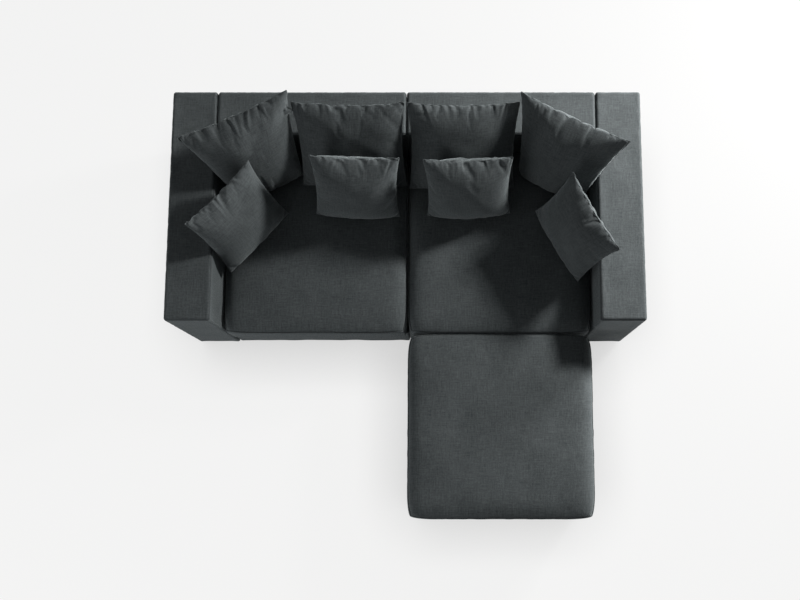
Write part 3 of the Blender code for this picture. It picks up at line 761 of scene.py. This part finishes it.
def keep_clear(piece, trees):
    """Push the points that lie inside a neighbour out through its nearest surface."""
    for tree in trees:
        for vertex in piece.data.vertices:
            spot, normal, _, _ = tree.find_nearest(vertex.co, NEIGHBOUR_REACH)
            if spot is None:
                continue
            height = (vertex.co - spot).dot(normal)
            if height < CLEAR_OF_NEIGHBOURS:
                vertex.co += normal * (CLEAR_OF_NEIGHBOURS - height)


def welt(name, piece, loop):
    """The folded lip of a seam: a thin cord of cloth along a closed line of the piece's points."""
    curve = bpy.data.curves.new(name, "CURVE")
    curve.dimensions = "3D"
    curve.bevel_depth = WELT_RADIUS
    curve.bevel_resolution = 1
    spline = curve.splines.new("POLY")
    spline.points.add(len(loop) - 1)
    for point, index in zip(spline.points, loop):
        point.co = (*piece.data.vertices[int(index)].co, 1.0)
    spline.use_cyclic_u = True
    drawn = bpy.data.objects.new(name, curve)
    bpy.context.scene.collection.objects.link(drawn)
    graph = bpy.context.evaluated_depsgraph_get()
    mesh = bpy.data.meshes.new_from_object(drawn.evaluated_get(graph))
    bpy.data.objects.remove(drawn, do_unlink=True)
    for layer in list(mesh.uv_layers):
        mesh.uv_layers.remove(layer)
    spots = np.empty(len(mesh.vertices) * 3)
    mesh.vertices.foreach_get("co", spots)
    ends = np.empty(len(mesh.loops), dtype=np.int32)
    mesh.loops.foreach_get("vertex_index", ends)
    spots = spots.reshape(-1, 3)[ends]
    panel = np.stack([spots[:, 0] + spots[:, 1], spots[:, 2]], axis=-1)
    rim = np.full(panel.shape, SEAM_RAMP)
    for layer, values in (("panel", panel), ("rim", rim)):
        data = mesh.uv_layers.new(name=layer).data
        data.foreach_set("uv", values.astype(np.float32).ravel())
    mesh.polygons.foreach_set("use_smooth", [True] * len(mesh.polygons))
    mesh.materials.clear()
    mesh.materials.append(piece.data.materials[0])
    lip = bpy.data.objects.new(name, mesh)
    bpy.context.scene.collection.objects.link(lip)
    lip.parent = piece
    return lip


# Box-shaped covers
def box_panels(low, high, cell, near, bottom):
    """The panels of a box as grids of places on it: name, grid, rows, columns, flip."""
    low, high = np.array(low), np.array(high)
    size = high - low
    steps = [lines(s, cell, near) for s in size]
    across = [low[k] + steps[k] for k in range(3)]

    def grid(fixed, value, rows, columns):
        out = np.empty((len(steps[rows]), len(steps[columns]), 3))
        out[:, :, fixed] = value
        out[:, :, rows] = across[rows][:, None]
        out[:, :, columns] = across[columns][None, :]
        return out

    panels = [
        ("top", grid(2, high[2], 1, 0), steps[1], steps[0], False),
        ("front", grid(1, low[1], 2, 0), steps[2], steps[0], False),
        ("back", grid(1, high[1], 2, 0), steps[2], steps[0], True),
        ("left", grid(0, low[0], 2, 1), steps[2], steps[1], True),
        ("right", grid(0, high[0], 2, 1), steps[2], steps[1], False),
    ]
    if bottom:
        panels.append(("bottom", grid(2, low[2], 1, 0), steps[1], steps[0], True))
    return panels


def rounded(points, low, high, radius, open_below):
    """Places on a box moved onto a box with rounded edges, and the way out at each."""
    low, high = np.array(low), np.array(high)
    inner_low = low + radius
    if open_below:
        inner_low[2] = low[2]
    inner = np.clip(points, inner_low, high - radius)
    out = points - inner
    length = np.linalg.norm(out, axis=-1, keepdims=True)
    out = out / np.maximum(length, NEVER_ZERO)
    return inner + radius * out, out


def cover(name, node, body, seed):
    """An upholstered cover over a frame: panels sewn at the edges, a little slack, open below."""
    low, high = (np.array(v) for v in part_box(node))
    low[2] = COVER_BOTTOM
    # Where the rounded edge has turned by COVER_TURN
    turn = COVER_RADIUS * (1.0 - math.tan(math.radians(COVER_TURN)))
    near = (turn * COVER_FIRST_LINE, turn, COVER_RADIUS, COVER_RADIUS + COVER_BEYOND_EDGE)
    sewn = Sewn()
    for title, grid, rows, columns, flip in box_panels(low, high, COVER_CELL, near, False):
        form, out = rounded(grid, low, high, COVER_RADIUS, True)
        edge_rows = rows[-1] - rows
        if title == "top":
            edge_rows = np.minimum(rows, edge_rows)
        edge = np.minimum.outer(edge_rows, np.minimum(columns, columns[-1] - columns))
        slack = SLACK * (waves(form, seed, SLACK_LENGTHS) - SLACK_MEAN)
        slack = slack * np.clip(edge / SEAM_RAMP, 0.0, 1.0)
        pucker = PUCKER * np.exp(-edge / PUCKER_REACH)
        pucker = pucker * waves(form, seed + SEEDS["pucker"], PUCKER_LENGTHS)
        groove = -GROOVE * np.exp(-((edge / GROOVE_WIDTH) ** 2))
        form = form + out * np.minimum(slack + pucker + groove, 0.0)[:, :, None]
        sewn.add(grid, form, rows, columns, flip)
    piece = sewn.make(name, UPHOLSTERY)
    wall = piece.modifiers.new("cloth_thickness", "SOLIDIFY")
    wall.thickness = COVER_THICKNESS
    wall.offset = -1.0
    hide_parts(node)
    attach(piece, body)
    return piece


def rolled(distance, width, drop):
    """How far a soft edge rolls down at a distance from its seam: most of a quarter circle."""
    near = np.clip(1.0 - distance / width, 0.0, 1.0)
    full = 1.0 - math.sqrt(1.0 - ROLL_TURN)
    return drop * (1.0 - np.sqrt(1.0 - ROLL_TURN * near * near)) / full


def boxed_form(points, low, high):
    """Places on a cushion's box moved to its form: bulging sides, crowned top, drawn-in corners."""
    middle, half = (low + high) / 2.0, (high - low) / 2.0
    u = (points[..., 0] - middle[0]) / half[0]
    v = (points[..., 1] - middle[1]) / half[1]
    top = low[2] + BOXING_HEIGHT
    rise = np.clip((points[..., 2] - low[2]) / BOXING_HEIGHT, 0.0, 1.0)
    ring = np.maximum(abs(u), abs(v))
    wall = ring > 1.0 - TINY
    arch = np.sqrt(np.clip(1.0 - (2.0 * rise - 1.0) ** BULGE_POWER, 0.0, 1.0))
    bulge = np.where(wall, SIDE_BULGE * arch, 0.0)
    pull = CORNER_PULL * (abs(u) * abs(v)) ** CORNER_SHARPNESS
    x = middle[0] + u * (half[0] - SIDE_BULGE + bulge * abs(u) - pull)
    y = middle[1] + v * (half[1] - SIDE_BULGE + bulge * abs(v) - pull)
    along = np.where(v < 0.0, FRONT_CROWN_POWER, CROWN_POWER)
    crown = SEAT_CROWN * (1.0 - abs(u) ** SIDE_CROWN_POWER) * (1.0 - abs(v) ** along)
    crown = crown - rolled((1.0 - abs(u)) * half[0], SIDE_ROLL, SIDE_ROLL_DROP)
    front_roll = rolled((1.0 - abs(v)) * half[1], SIDE_ROLL, FRONT_ROLL_DROP)
    crown = crown - np.where(v < 0.0, front_roll, 0.0)
    lowered = points[..., 2] + np.where(wall, crown * rise, 0.0)
    z = np.where(points[..., 2] > top - TINY, top + crown, lowered)
    return np.stack([x, y, z], axis=-1)


def boxed_folds(low, high, box_high):
    """The short wrinkles of a boxed cushion that is filled, by panel."""
    bag, where, folds = Sewn(), {}, {}
    panels = box_panels(low, box_high, BOXED_BAG_CELL, (BOXED_BAG_CELL,), True)
    for title, grid, rows, columns, flip in panels:
        where[title] = bag.add(grid, boxed_form(grid, low, high), rows, columns, flip)
    full = inflate(bag.points, bag.faces, seam_of(where),
                   BOXED_PRESSURE, BOXED_SHRINK, BOXED_FRAMES)
    begun = np.array(bag.points)
    for title, index in where.items():
        moved = full[index] - begun[index]
        folds[title] = moved - smoothed(moved, BOXED_FOLD_CELLS)
    return folds


def boxed_cushion(name, node, body, seed):
    """A boxed cushion: a top, a bottom and four boxing panels, filled and shaped to its form."""
    low, high = (np.array(v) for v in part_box(node))
    box_high = high.copy()
    box_high[2] = low[2] + BOXING_HEIGHT
    folds = boxed_folds(low, high, box_high)
    sewn = Sewn()
    panels = box_panels(low, box_high, BOXED_CELL, SEAM_LINES, True)
    for title, grid, rows, columns, flip in panels:
        form = boxed_form(grid, low, high)
        edge = np.minimum.outer(np.minimum(rows, rows[-1] - rows),
                                np.minimum(columns, columns[-1] - columns))
        if title in folds:
            fold = resampled(folds[title], rows / rows[-1], columns / columns[-1])
            form += limited(fold, BOXED_FOLD_LIMIT)
        if title == "top":
            deep = np.clip(edge / SEAM_RAMP, 0.0, 1.0)
            form[..., 2] += TOP_DIP * deep * (waves(form, seed, TOP_DIP_LENGTHS) - TOP_DIP_MEAN)
            form[..., 2] -= GROOVE * np.exp(-((edge / TOP_GROOVE_WIDTH) ** 2))
        least, most = low[:2] + WALL_CLEARANCE, high[:2] - WALL_CLEARANCE
        form[..., :2] = np.clip(form[..., :2], least, most)
        sewn.add(grid, form, rows, columns, flip)
    piece = sewn.make(name, UPHOLSTERY)
    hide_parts(node)
    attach(piece, body)
    return piece


def foam_board(name, node, body):
    """A cut foam board with softened edges."""
    low, high = (np.array(v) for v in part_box(node))
    radius = min(FOAM_EDGE, (high[2] - low[2]) * FOAM_EDGE_SHARE)
    near = (radius * FOAM_FIRST_LINE, radius)
    sewn = Sewn()
    for _, grid, rows, columns, flip in box_panels(low, high, FOAM_CELL, near, True):
        form, out = rounded(grid, low, high, radius, False)
        dents = FOAM_UNEVENNESS * (1.0 + waves(form, SEEDS["foam"], FOAM_LENGTHS))
        form = form - out * dents[:, :, None]
        sewn.add(grid, form, rows, columns, flip)
    piece = sewn.make(name, FOAM)
    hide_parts(node)
    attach(piece, body)
    return piece


def woven_straps(name, node, body):
    """Elastic straps across a frame, each passing over and under those that it crosses."""
    low, high = (np.array(v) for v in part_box(node))
    middle = (low[2] + high[2]) / 2.0
    centres = (np.arange(STRAP_COUNT) + 0.5) / STRAP_COUNT
    sewn = Sewn()
    for way in (0, 1):
        length = high[way] - low[way]
        run = np.linspace(0.0, length, STRAP_STEPS * STRAP_COUNT + 1)
        for number, share in enumerate(centres):
            side = np.linspace(-STRAP_WIDTH / 2.0, STRAP_WIDTH / 2.0, STRAP_LINES)
            turn = -1.0 if (number + way) % 2 else 1.0
            swing = turn * np.cos(math.pi * (run / length * STRAP_COUNT - 0.5))
            across = low[1 - way] + share * (high[1 - way] - low[1 - way])
            grid = np.empty((len(side), len(run), 3))
            grid[:, :, way] = low[way] + run
            grid[:, :, 1 - way] = across + side[:, None]
            grid[:, :, 2] = middle + STRAP_SWING * swing
            # Straps that cross share no points, so each way's start lies at a level of its own
            start = grid + (0.0, 0.0, 1.0 + way)
            sewn.add(start, grid, side - side[0], run, flip=bool(way))
    piece = sewn.make(name, WEBBING)
    wall = piece.modifiers.new("strap_thickness", "SOLIDIFY")
    wall.thickness = STRAP_THICKNESS
    wall.offset = 0.0
    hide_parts(node)
    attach(piece, body)
    return piece


# The set
def loose_piece(side, kind, seed, trees):
    """A loose cushion with its seam lip, clear of its neighbours; its own tree joins theirs."""
    node = f"{side}_{kind}_cushion"
    piece, seam = loose_cushion(f"{side}_{kind}_loose_cushion", kind, node, seed)
    keep_clear(piece, trees)
    lip = welt(piece.name + "_seam_lip", piece, seam)
    soften = piece.modifiers.new("smooth", "SUBSURF")
    soften.levels = soften.render_levels = 1
    soften.uv_smooth = "PRESERVE_BOUNDARIES"
    trees.append(tree_of(piece))
    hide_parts(node)
    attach(piece, node + "_body")


def upholstered(side, number):
    """One half of the sofa without its loose cushions; returns the pieces that they lie against."""
    covers = {
        part: cover(f"{side}_{part}_upholstery", f"{side}_{node}_cover", f"{side}_{body}",
                    SEEDS[part] + number)
        for part, node, body in (("arm", "arm", "arm"), ("back", "back", "back"),
                                 ("base", "seat_base", "seat"))
    }
    seat = boxed_cushion(f"{side}_boxed_cushion", f"{side}_seat_cushion",
                         f"{side}_seat_cushion_body", SEEDS["seat"] + number)
    foam_board(f"{side}_seat_foam_board", f"{side}_seat_deck_pad", f"{side}_seat")
    woven_straps(f"{side}_seat_straps", f"{side}_seat_webbing", f"{side}_seat")
    foam_board(f"{side}_arm_foam_board", f"{side}_arm_top_pad", f"{side}_arm")
    foam_board(f"{side}_back_foam_board", f"{side}_back_top_pad", f"{side}_back")
    return covers["arm"], covers["back"], seat


SIDES = ("left", "right")
neighbours = {side: upholstered(side, number) for number, side in enumerate(SIDES)}
cover("ottoman_base_upholstery", "ottoman_base_cover", "ottoman", SEEDS["ottoman_base"])
boxed_cushion("ottoman_boxed_cushion", "ottoman_cushion", "ottoman_cushion_body",
              SEEDS["ottoman"])
foam_board("ottoman_foam_board", "ottoman_deck_pad", "ottoman")
woven_straps("ottoman_straps", "ottoman_webbing", "ottoman")

for number, side in enumerate(SIDES, 1):
    trees = [tree_of(piece) for piece in neighbours[side]]
    for place, kind in enumerate(LOOSE):
        loose_piece(side, kind, SEEDS["loose"] * number + 10 * place, trees)

# Finishes of the CAD nodes that are kept, by a part of their name
FINISHES = {"_frame": WOOD, "_underside": PLASTIC, "_snap_tongue": STEEL, "_catch_plate": STEEL}
for name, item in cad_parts.items():
    for word, finish in FINISHES.items():
        if word in name:
            for slot in item.material_slots:
                slot.material = finish

# Floor, lights and camera
floor_corners = [(x * FLOOR_HALF, y * FLOOR_HALF, 0.0)
                 for x, y in ((-1, -1), (1, -1), (1, 1), (-1, 1))]
floor_mesh = bpy.data.meshes.new("floor")
floor_mesh.from_pydata(floor_corners, [], [(0, 1, 2, 3)])
floor = bpy.data.objects.new("floor", floor_mesh)
floor_mesh.materials.append(floor_material())
bpy.context.scene.collection.objects.link(floor)


def backdrop_world():
    """A weak even world that the camera, reflections and glass see as a pale backdrop."""
    world = bpy.data.worlds.new("studio")
    world.use_nodes = True
    nodes, links = world.node_tree.nodes, world.node_tree.links
    level, backdrop = nodes["Background"], nodes.new("ShaderNodeBackground")
    level.inputs["Color"].default_value = WORLD_COLOUR
    level.inputs["Strength"].default_value = WORLD_LEVEL
    backdrop.inputs["Color"].default_value = BACKDROP_COLOUR
    backdrop.inputs["Strength"].default_value = 1.0
    seen = nodes.new("ShaderNodeLightPath").outputs
    either = seen["Is Camera Ray"]
    for ray in ("Is Glossy Ray", "Is Transmission Ray"):
        more = nodes.new("ShaderNodeMath")
        more.operation = "MAXIMUM"
        links.new(either, more.inputs[0])
        links.new(seen[ray], more.inputs[1])
        either = more.outputs[0]
    blend = nodes.new("ShaderNodeMixShader")
    for socket, value in zip(blend.inputs, (either, level.outputs[0], backdrop.outputs[0])):
        links.new(value, socket)
    links.new(blend.outputs[0], nodes["World Output"].inputs[0])
    return world


def area_light(name, place, target, size, power, colour):
    """A square lamp at a place, turned to a target."""
    light = bpy.data.lights.new(name, "AREA")
    light.shape = "SQUARE"
    light.size = size
    light.energy = power
    light.color = colour
    item = bpy.data.objects.new(name, light)
    item.location = place
    way = Vector(target) - Vector(place)
    item.rotation_euler = way.to_track_quat("-Z", "Y").to_euler()
    bpy.context.scene.collection.objects.link(item)


bpy.context.scene.world = backdrop_world()
for name, values in LIGHTS.items():
    area_light(name, *values)

camera_data = bpy.data.cameras.new("camera")
camera = bpy.data.objects.new("camera", camera_data)
bpy.context.scene.collection.objects.link(camera)
camera_data.sensor_width = CAMERA_SENSOR
camera_data.lens = CAMERA_LENS
camera_data.shift_x, camera_data.shift_y = CAMERA_SHIFT
camera.location = CAMERA_PLACE
camera.rotation_euler = (math.radians(CAMERA_TILT), 0.0, 0.0)
bpy.context.scene.camera = camera
bpy.context.scene.view_settings.view_transform = "Standard"
